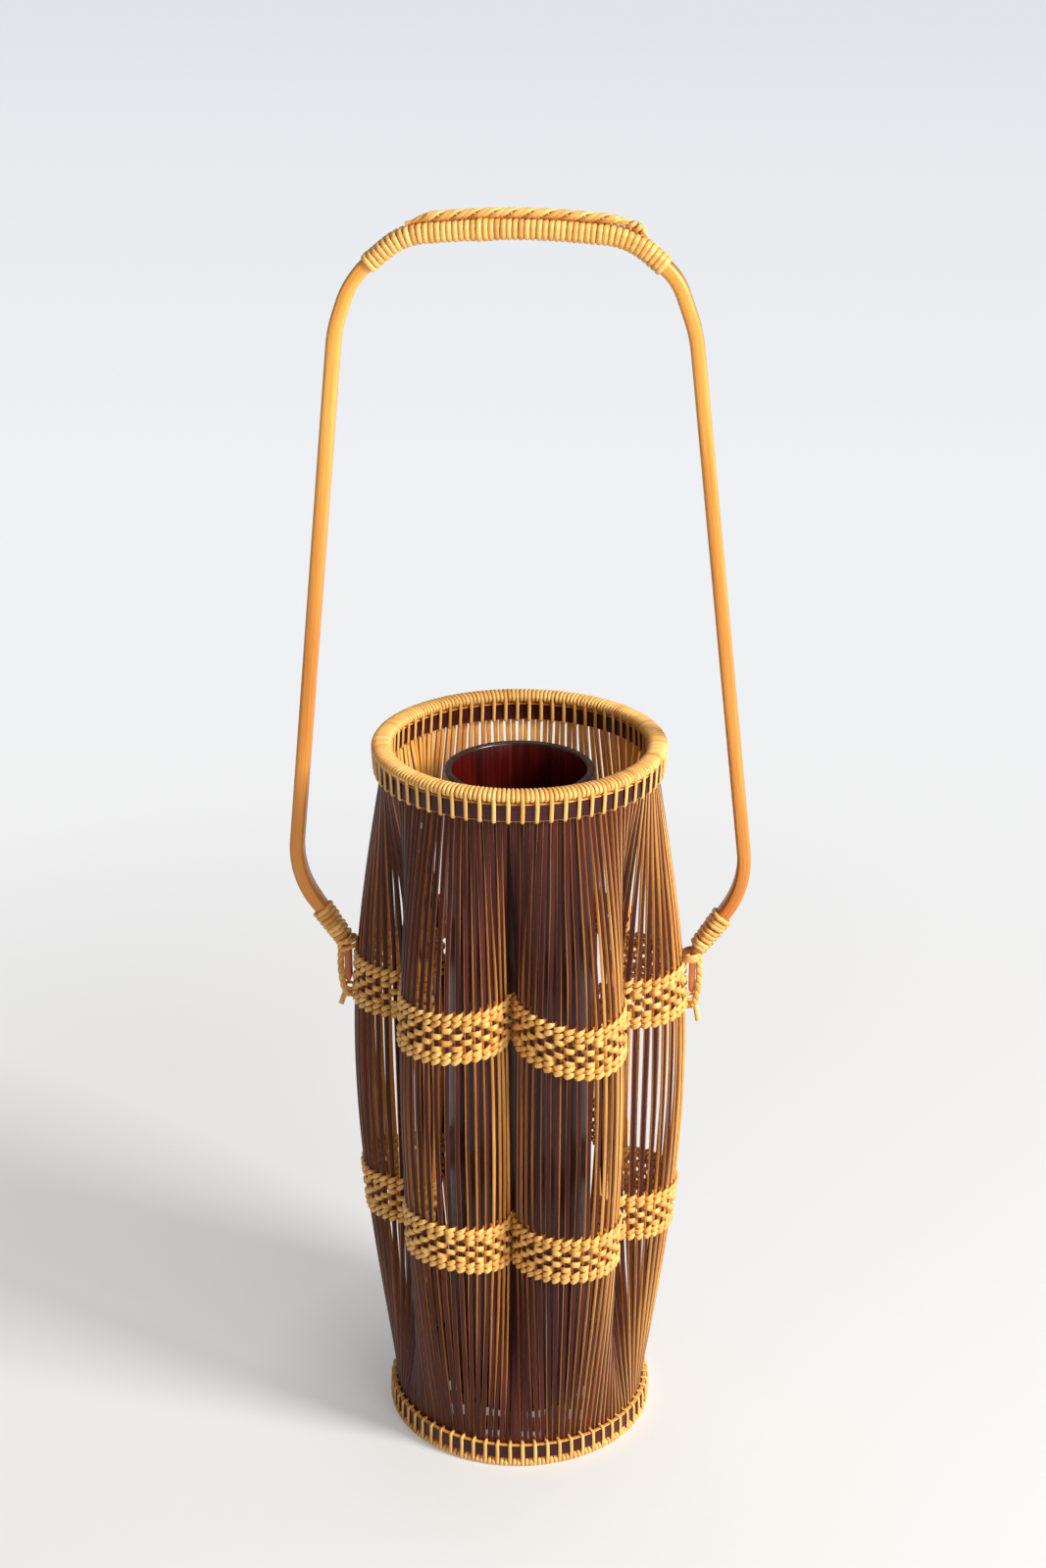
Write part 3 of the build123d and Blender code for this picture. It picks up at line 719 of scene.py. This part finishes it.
def handle_line():
    """Middle line of the handle in the XZ plane, from left to right.

    Its hand-bent shoulders differ a little, and above the crooks it leans to the left.
    """
    shoulder = CROOK[0] - LEG_LEAN * (SHOULDER_Z - CROOK[1])
    leg = [(TONGUE_X, NECK_Z - TONGUE_LENGTH), (TONGUE_X, NECK_Z), CROOK, (shoulder, SHOULDER_Z)]
    left = leg + [(67.5, 541.0), (45.8, 559.2)]
    right = leg + [(66.9, 542.6), (47.4, 559.6)]
    points = [(-x, z) for x, z in left] + [(0.0, 563.0)] + right[::-1]
    leg_radii = [16.0, 44.0, 60.0]
    line = fillet_path(points, leg_radii + [36.0, 29.0, 300.0, 32.0, 26.0] + leg_radii[::-1])
    line[:, 0] -= np.interp(line[:, 1], [295.0, 360.0, SHOULDER_Z], [0.0, 1.2, 1.8])
    count = int(np.linalg.norm(np.diff(line, axis=0), axis=1).sum() / 1.5)
    return resample(line, count, closed=False)


class Track:
    """Places along the handle by distance."""

    def __init__(self, line):
        self.line = line
        self.reach = np.concatenate([[0], np.cumsum(np.linalg.norm(np.diff(line, axis=0), axis=1))])
        self.length = self.reach[-1]
        self.along = tangents_of(line)

    def at(self, distance):
        """Centre, direction and outward normal in 3-D at distances along the line."""
        distance = np.asarray(distance, float)
        spot = [np.interp(distance, self.reach, self.line[:, k]) for k in range(2)]
        way = unit(np.stack([np.interp(distance, self.reach, self.along[:, k]) for k in range(2)], -1))
        centre = np.stack([spot[0], 0 * distance, spot[1]], -1)
        along = np.stack([way[..., 0], 0 * distance, way[..., 1]], -1)
        normal = np.stack([-way[..., 1], 0 * distance, way[..., 0]], -1)
        return centre, along, normal


track = Track(handle_line())


def leg_size(from_end):
    """How far the leg has grown out of its tongue, from 0 to 1, and its width and thickness there."""
    past_tongue = from_end - (TONGUE_LENGTH - 1.0)
    share = np.clip(past_tongue / 2.5, 0, 1)
    share = share * share * (3 - 2 * share)
    grown_out = np.clip(past_tongue / 28.0, 0, 1) ** 0.7
    return share, 5.5 + share * (1.6 + 2.4 * grown_out), 2.2 + share * (1.4 + 2.36 * grown_out)


def make_handle():
    """Bent bamboo strip with eased edges; its ends thin down to the tongues."""
    distance = np.concatenate([np.linspace(TONGUE_LENGTH - 1.2, TONGUE_LENGTH + 3, 8),
                               np.linspace(TONGUE_LENGTH + 4, track.length / 2, 230)])
    distance = np.concatenate([distance, track.length - distance[-2::-1]])
    centre, _, normal = track.at(distance)
    side = np.tile([0.0, 1.0, 0.0], (len(distance), 1))
    share, wide, thick = leg_size(np.minimum(distance, track.length - distance))
    t, w = thick / 2, wide / 2
    w = w * (1 + 0.012 * np.sin(distance / 31.0) + 0.010 * np.sin(distance / 13.0 + 1))
    e = 0.3 + 0.95 * share
    f = e * 0.45
    g = f * 0.6
    section = varying([
        (t, -w + e), (t, w - e), (t - f, w - g), (t - e, w), (-t + e, w), (-t + f, w - g),
        (-t, w - e), (-t, -w + e), (-t + f, -w + g), (-t + e, -w), (t - e, -w), (t - f, -w + g)])
    weave = Weave()
    weave.add(rings_along(centre, normal, side, section), slots=[1] + [0] * 11)
    weave.make("handle_strip", [handle_wood, handle_skin], ["handle_bow"], "handle_bamboo", sharp=60)
    make_tongues()


def make_tongues():
    """The two thin ends of the handle, rounded off at the tip."""
    tongues = Weave()
    for start in (0.0, track.length - TONGUE_LENGTH):
        spread = np.linspace(start, start + TONGUE_LENGTH, 20)
        centre, _, normal = track.at(spread)
        near = (spread if start == 0.0 else track.length - spread) / TONGUE_LENGTH
        t, w, e = 1.45 * np.clip(near * 5 + 0.6, 0, 1), 2.75 * np.clip(near * 4 + 0.7, 0, 1), 0.35
        section = varying([(t, -w + e), (t, w - e), (t - e, w), (-t + e, w), (-t, w - e), (-t, -w + e),
                           (-t + e, -w), (t - e, -w)])
        side = np.tile([0.0, 1.0, 0.0], (len(spread), 1))
        tongues.add(rings_along(centre, normal, side, section))
    tongues.make("handle_tongues", [tongue_wood], ["handle_bow"], "handle_bamboo", sharp=60)


def handle_wrap(distance, width, grow, lean, thick, size=HANDLE_SIZE):
    """One strand round the handle strip; lean slides its front and back along the handle."""
    w, t = size[0] / 2, size[1] / 2
    e = min(1.1, t * 0.45)
    core = [(t, w - e), (t - e, w), (-t + e, w), (-t, w - e), (-t, -w + e), (-t + e, -w), (t - e, -w),
            (t, -w + e)]
    outline = grown(core, 0.08 + grow, 40)
    normals = outward(outline)
    swing = np.arctan2(outline[:, 1], outline[:, 0])
    centre, along, normal = track.at(distance + lean * np.sin(swing))
    side = np.tile([0.0, 1.0, 0.0], (len(outline), 1))
    middle = centre + normal * outline[:, :1] + side * outline[:, 1:]
    out = unit(normal * normals[:, :1] + side * normals[:, 1:])
    return rings_along(middle, out, along, strand_section(width, thick, crown=0.46))


def make_grip():
    """Close wraps over the crown of the handle."""
    weave = Weave()
    first = track.length / 2 - (GRIP_WRAPS - 1) / 2 * GRIP_PITCH
    thicker_at = 20.5
    for k in range(GRIP_WRAPS):
        grow = 0.45 * math.exp(-((k - thicker_at) / 2.2) ** 2) + abs(chance.normal(0, 0.03))
        at = first + k * GRIP_PITCH + chance.normal(0, 0.05)
        width = 2.58 * (1 + chance.normal(0, 0.02))
        weave.add(handle_wrap(at, width, grow, 0.28, 1.0 + chance.normal(0, 0.02)), closed=True)
    weave.make("grip_binding", [rattan], ["grip_wrap"], "rattan")


def braid_point(distance, turn, out, up, rise):
    """Points on a coil that runs above the handle, and their directions out of it."""
    centre, _, normal = track.at(distance)
    side = np.tile([0.0, 1.0, 0.0], (len(distance), 1))
    middle = centre + normal * (rise + up * np.sin(turn))[:, None] - side * (out * np.cos(turn))[:, None]
    outside = unit(normal * np.sin(turn)[:, None] - side * np.cos(turn)[:, None])
    return middle, outside


def make_braid():
    """Twisted ridge of doubled strands along the top of the grip."""
    weave = Weave()
    distance = np.linspace(track.length / 2 - BRAID_HALF, track.length / 2 + BRAID_HALF, 420)
    s = distance - distance[0]
    grow = np.clip(s / 9, 0.25, 1) * np.clip((s[-1] - s) / 5, 0.6, 1)
    rise = 4.25 + 2.1 * np.clip(s / 9, 0.35, 1)
    section = oval(0.78, 1.12)
    for ply in range(2):
        for part in (-1, 1):
            turn = math.pi * s / BRAID_STEP + ply * math.pi + part * 0.50 - 0.6
            middle, outside = braid_point(distance, turn, 1.66 * grow, 1.42 * grow, rise)
            along = tangents_of(middle)
            side = unit(np.cross(along, outside))
            normal = unit(np.cross(side, along))
            weave.add(rings_along(middle, normal, side, section[None] * (0.55 + 0.45 * grow)[:, None, None]))
    weave.make("grip_ridge", [rattan], ["grip_braid"], "rattan")


def make_knot():
    """Three turns of strand and a short tail at the right end of the ridge."""
    knot = Weave()
    start = track.length / 2 + BRAID_HALF
    for k, (shift, size) in enumerate(((1.0, 1.0), (2.9, 1.08), (4.8, 0.95))):
        turn = np.linspace(0, 2 * math.pi, 26)[:-1]
        place = np.full(len(turn), start + shift) + 0.9 * np.sin(turn + k)
        middle, outside = braid_point(place, turn, 2.0 * size, 1.25 * size, np.full(len(turn), 6.2))
        side = unit(np.cross(tangents_of(middle, closed=True), outside))
        knot.add(rings_along(middle, outside, side, oval(0.75, 1.05)), closed=True)
    tail = np.linspace(start + 4.0, start + 8.0, 8)
    middle, _, up = track.at(tail)
    drop = np.linspace(6.4, 4.9, 8)[:, None]
    middle = middle + up * drop + np.array([0.0, -1.2, 0.0])
    knot.add(cord_rings(middle, 1.9, 1.5, taper=0.5))
    knot.make("grip_knot", [rattan], ["grip_braid_knot"], "rattan")


def make_lashing(name, side):
    """Uneven wraps round the lower end of a leg, drawn in towards the tongue, with a stitched edge."""
    weave = Weave()
    start = 20.4 if side < 0 else 23.4
    for k in range(LASHING_WRAPS):
        near = start + k * GRIP_PITCH + chance.normal(0, 0.12)
        at = track.length - near if side > 0 else near
        _, wide, thick = leg_size(near)
        grow = abs(chance.normal(0, 0.12)) + (0.18 if k % 2 else 0.0)
        lean = (0.5 + chance.uniform(-0.3, 0.5)) * side
        weave.add(handle_wrap(at, 2.52, grow, lean, 1.15, (wide, thick)), closed=True)
    stitches = np.linspace(start - 1.0, start + 7.6 * GRIP_PITCH, 80)
    _, wide, thick = leg_size(stitches)
    turn = 2 * math.pi * (stitches - start) / (2 * GRIP_PITCH)
    for ply in (0.0, math.pi):
        place = track.length - stitches if side > 0 else stitches
        centre, _, normal = track.at(place)
        front = np.array([0.0, -1.0, 0.0])
        middle = (centre + normal * (thick / 2 + 1.1 + 0.35 * np.cos(turn + ply))[:, None]
                  + front * (wide * 0.32 + 0.55 * np.sin(turn + ply))[:, None])
        weave.add(cord_rings(middle, 1.5, 1.1, up=(0, -1, 0), taper=0.6))
    weave.make(f"handle_lashing_{name}_strands", [rattan], [f"handle_lashing_{name}"], "rattan")


def make_tie(name, side):
    """Twisted cord that holds the tongue: down outside it and in under the band, with a cut tail."""
    cord = [(76.6, -0.8, UPPER_BASE - 0.8), (78.8, -2.2, UPPER_BASE + 0.4), (80.2, -2.6, UPPER_BASE + 3.6),
            (81.1, -2.4, UPPER_BASE + 9.0), (81.5, -2.2, UPPER_BASE + 15.0), (81.3, -2.2, UPPER_BASE + 20.5),
            (81.2, -2.0, NECK_Z + 0.5)]
    line = spline([(side * x, y, z) for x, y, z in cord], 110)
    along = tangents_of(line)
    out = unit(np.cross(along, np.array([0.0, 1.0, 0.0])))
    over = np.cross(out, along)
    reach = np.linspace(0, 30, len(line))
    twist = 6.8
    weave = Weave()
    for ply in (0.0, math.pi):
        turn = (2 * math.pi * reach / twist * side + ply)[:, None]
        radial = np.cos(turn) * out + np.sin(turn) * over
        middle = line + 0.72 * radial
        side_way = unit(np.cross(tangents_of(middle), radial))
        weave.add(rings_along(middle, radial, side_way, oval(0.92, 1.20)))
    drop = 4.6 if side < 0 else 7.0
    tail = np.array([(side * 79.4, -2.4, UPPER_BASE + 1.4), (side * 80.4, -3.2, UPPER_BASE - 0.8),
                     (side * 81.0, -3.6, UPPER_BASE - 0.6 * drop), (side * 81.6, -3.8, UPPER_BASE - drop)])
    weave.add(cord_rings(spline(tail, 14), 2.4, 1.3, up=(0, -1, 0)))
    weave.make(f"handle_tie_{name}", [rattan], [f"handle_tie_cord_{name}"], "rattan")


def make_cross(name, side):
    """Flat strands that go round the tongue and in through the band, above and below."""
    weave = Weave()
    turn = np.arange(40) * 2 * math.pi / 40
    middle_x = TONGUE_X - 0.5
    if side > 0:
        loops = [(NECK_Z - 1.2, 0.2, 4.0, 0.5)]
    else:
        loops = [(NECK_Z - 1.4, -1.5, 2.4, 0.4), (NECK_Z + 1.2, -0.8, 1.9, -0.3)]
    loops.append((UPPER_BASE + 3.0, 0.6, 1.6, -1.4))
    for height, tilt, wide, grow in loops:
        x = middle_x + (3.4 + grow) * np.cos(turn)
        y = (4.1 + grow) * np.sin(turn)
        z = height + tilt * np.cos(turn)
        line = np.stack([side * x, y, z], -1)
        centre = np.array([side * middle_x, 0.0, height])
        out = unit((line - centre) * np.array([1.0, 1.0, 0.0]))
        over = np.tile([0.0, 0.0, 1.0], (len(turn), 1))
        weave.add(rings_along(line, out, over, strand_section(wide, 0.95)), closed=True)
    weave.make(f"handle_cross_{name}", [rattan], [f"handle_cross_strands_{name}"], "rattan")


# ------------------------------------------------------- tube and floor

def make_tube():
    """Lacquered bamboo cup with an eased lip."""
    low, high = height_span("water_tube")
    outer, inner, floor = face("water_tube", ACROSS, HIGH), TUBE_BORE, low + TUBE_FLOOR
    wall = [(0.02, low), (outer - 0.8, low), (outer - 0.2, low + 0.3), (outer, low + 0.9)]
    wall += [(outer, z) for z in np.linspace(low + 20, high - 12, 8)]
    wall += [(outer, high - 0.9), (outer - 0.25, high - 0.3), (outer - 0.9, high), (inner + 0.9, high),
             (inner + 0.25, high - 0.3), (inner, high - 0.9)]
    rim = len(wall)
    wall += [(inner, z) for z in np.linspace(high - 12, floor + 6, 8)]
    wall += [(inner - 0.6, floor + 1.2), (inner - 2.0, floor), (0.02, floor)]
    slots = [0] * (rim - 1) + [1] * (len(wall) - rim + 1)
    weave = Weave()
    lathe(weave, wall, 128, slots)
    weave.make("tube_cup", [tube_dark, tube_red], ["water_tube"], "lacquered_tube", body="tube", sharp=60)


def cad_wood(name, base, light, axis):
    """Split bamboo for a carried-over solid, with its grain along one axis."""
    mat, tree, shader = new_material(name)
    place = node(tree, "ShaderNodeTexCoord").outputs["Object"]
    sizes = [0.0006, 0.0006, 0.0006]
    sizes[axis] = 0.03
    fine = noise(tree, stretched(tree, place, sizes), 1.0, 3.0)
    broad = noise(tree, place, 60.0, 2.0)
    mixed = blend(tree, broad, fine, 0.5)
    colour = ramp(tree, mixed, [(0.3, base), (0.7, light)])
    set_surface(tree, shader, colour, remap(tree, fine, 0.42, 0.6), fine, 0.5, 0.0001)
    return mat


def paint(name, mat):
    """Gives a CAD node's own mesh one material."""
    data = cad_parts[name].data
    data.materials.clear()
    data.materials.append(mat)


make_strips()
make_band("upper_band", UPPER_BASE, upper_dip)
make_band("lower_band", LOWER_BASE, lower_dip)
make_ring_set("rim", RIM_RADIUS, RIM_CANE, RIM_HOOP)
make_ring_set("foot", FOOT_RADIUS, FOOT_CANE, FOOT_HOOP)
make_handle()
make_grip()
make_braid()
make_knot()
for side_name, side_sign in (("left", -1), ("right", 1)):
    make_lashing(side_name, side_sign)
    make_tie(side_name, side_sign)
    make_cross(side_name, side_sign)
make_tube()
slat_colours = (0.16, 0.06, 0.02), (0.42, 0.20, 0.06)
paint("floor_slats_lower", cad_wood("slats_along", *slat_colours, 0))
paint("floor_slats_upper", cad_wood("slats_across", *slat_colours, 1))
core_wood = cad_wood("core_cane", (0.40, 0.20, 0.06), (0.62, 0.36, 0.12), 2)
paint("rim_core", core_wood)
paint("foot_core", core_wood)


# ------------------------------------------------- floor, light, camera

FAR_PAPER = (0.75, 0.77, 0.81)


def grey(value):
    """A grey as a colour."""
    return value, value, value


def floor_paper():
    """White paper that the camera sees slightly lit by itself, more so away from the object; its colour and
    its glow get darker and bluer further back, as painted light falloff.
    """
    mat, tree, shader = new_material("studio_paper")
    place = node(tree, "ShaderNodeTexCoord").outputs["Object"]
    depth = node(tree, "ShaderNodeSeparateXYZ", {0: place}).outputs["Y"]
    share = remap(tree, depth, 0.0, 1.0, -0.4, 6.0)
    fibre = noise(tree, place, 900.0, 3.0)
    # Painted light falloff: the paper's colour goes from warm white at the front to darker and bluer far
    # back.
    paper = ramp(tree, share, [
        (0.0, (0.78, 0.77, 0.755)), (0.4, (0.77, 0.77, 0.78)), (1.0, (0.72, 0.74, 0.78))])
    tree.links.new(paper, shader.inputs["Base Color"])
    made = node(tree, "ShaderNodeBump", {"Height": fibre, "Strength": 0.05, "Distance": 0.0002})
    tree.links.new(made.outputs["Normal"], shader.inputs["Normal"])
    shader.inputs["Roughness"].default_value = 0.9
    shader.inputs["Specular IOR Level"].default_value = 0.1
    glow = ramp(tree, share, [
        (0.0, (0.91, 0.90, 0.88)), (0.12, (0.905, 0.905, 0.91)), (0.24, (0.885, 0.89, 0.905)),
        (0.40, (0.84, 0.86, 0.885)), (1.0, FAR_PAPER)])
    plain = node(tree, "ShaderNodeEmission", {"Color": glow, "Strength": 1.0}).outputs["Emission"]
    reach = node(tree, "ShaderNodeVectorMath", {0: place}, operation="LENGTH").outputs["Value"]
    far = ramp(tree, remap(tree, reach, 0.0, 1.0, 0.0, 1.5), [
        (0.040, grey(0.25)), (0.09, grey(0.43)), (0.26, grey(0.47)), (0.52, grey(0.92)), (1.0, grey(1.0))])
    rays = node(tree, "ShaderNodeLightPath")
    seen = node(tree, "ShaderNodeMath", {0: rays.outputs["Is Camera Ray"], 1: rays.outputs["Is Glossy Ray"]},
                operation="MAXIMUM").outputs["Value"]
    shown = node(tree, "ShaderNodeMath", {0: far, 1: seen}, operation="MULTIPLY").outputs["Value"]
    mixed = node(tree, "ShaderNodeMixShader", {0: shown, 1: shader.outputs["BSDF"], 2: plain})
    tree.links.new(mixed.outputs["Shader"], tree.nodes["Material Output"].inputs["Surface"])
    return mat


def make_stage():
    """Flat floor under the object, wide enough for low views."""
    mesh = bpy.data.meshes.new("studio_floor")
    size = 12.0
    corners = [(-size, -size, 0), (size, -size, 0), (size, size, 0), (-size, size, 0)]
    mesh.from_pydata(corners, [], [(0, 1, 2, 3)])
    mesh.materials.append(floor_paper())
    floor = bpy.data.objects.new("studio_floor", mesh)
    bpy.context.scene.collection.objects.link(floor)


def area_light(name, place, target, size, power, colour=(1, 1, 1)):
    """Soft light at a place in metres, turned to a target."""
    data = bpy.data.lights.new(name, "AREA")
    data.shape = "RECTANGLE"
    data.size, data.size_y = size
    data.energy = power
    data.color = colour
    lamp = bpy.data.objects.new(name, data)
    bpy.context.scene.collection.objects.link(lamp)
    lamp.location = place
    lamp.rotation_euler = (Vector(target) - Vector(place)).to_track_quat("-Z", "Y").to_euler()


def make_world():
    """Dim warm light from all round, and past the floor's end the colour of its far paper."""
    world = bpy.data.worlds.new("studio")
    world.use_nodes = True
    tree = world.node_tree
    light = tree.nodes["Background"]
    light.inputs["Color"].default_value = (1.0, 0.98, 0.95, 1)
    light.inputs["Strength"].default_value = 0.20
    backdrop = node(tree, "ShaderNodeBackground", {"Color": (*FAR_PAPER, 1), "Strength": 1.0})
    seen = node(tree, "ShaderNodeLightPath").outputs["Is Camera Ray"]
    mixed = node(tree, "ShaderNodeMixShader", {
        0: seen, 1: light.outputs["Background"], 2: backdrop.outputs["Background"]})
    tree.links.new(mixed.outputs["Shader"], tree.nodes["World Output"].inputs["Surface"])
    bpy.context.scene.world = world


def make_camera():
    """Camera above and in front of the basket, looking down at it."""
    data = bpy.data.cameras.new("camera")
    data.sensor_fit = "AUTO"
    data.sensor_width = 36.0
    data.lens = 60.9
    camera = bpy.data.objects.new("camera", data)
    bpy.context.scene.collection.objects.link(camera)
    camera.location = (0.0829, -1.0816, 0.7606)
    camera.rotation_euler = (math.radians(67.8), 0, math.radians(4.3))
    bpy.context.scene.camera = camera


make_stage()
warm = (1.0, 0.985, 0.96)
area_light("key", (2.05, -0.95, 1.7), (0, 0, 0.25), (0.7, 0.9), 96.0, warm)
area_light("front", (1.5, -2.0, 1.2), (0, 0, 0.25), (1.1, 1.1), 22.0, warm)
area_light("top", (0.2, 0.8, 2.6), (0, 0, 0.3), (1.6, 1.2), 10.0)
make_world()
make_camera()
bpy.context.scene.view_settings.view_transform = "Standard"
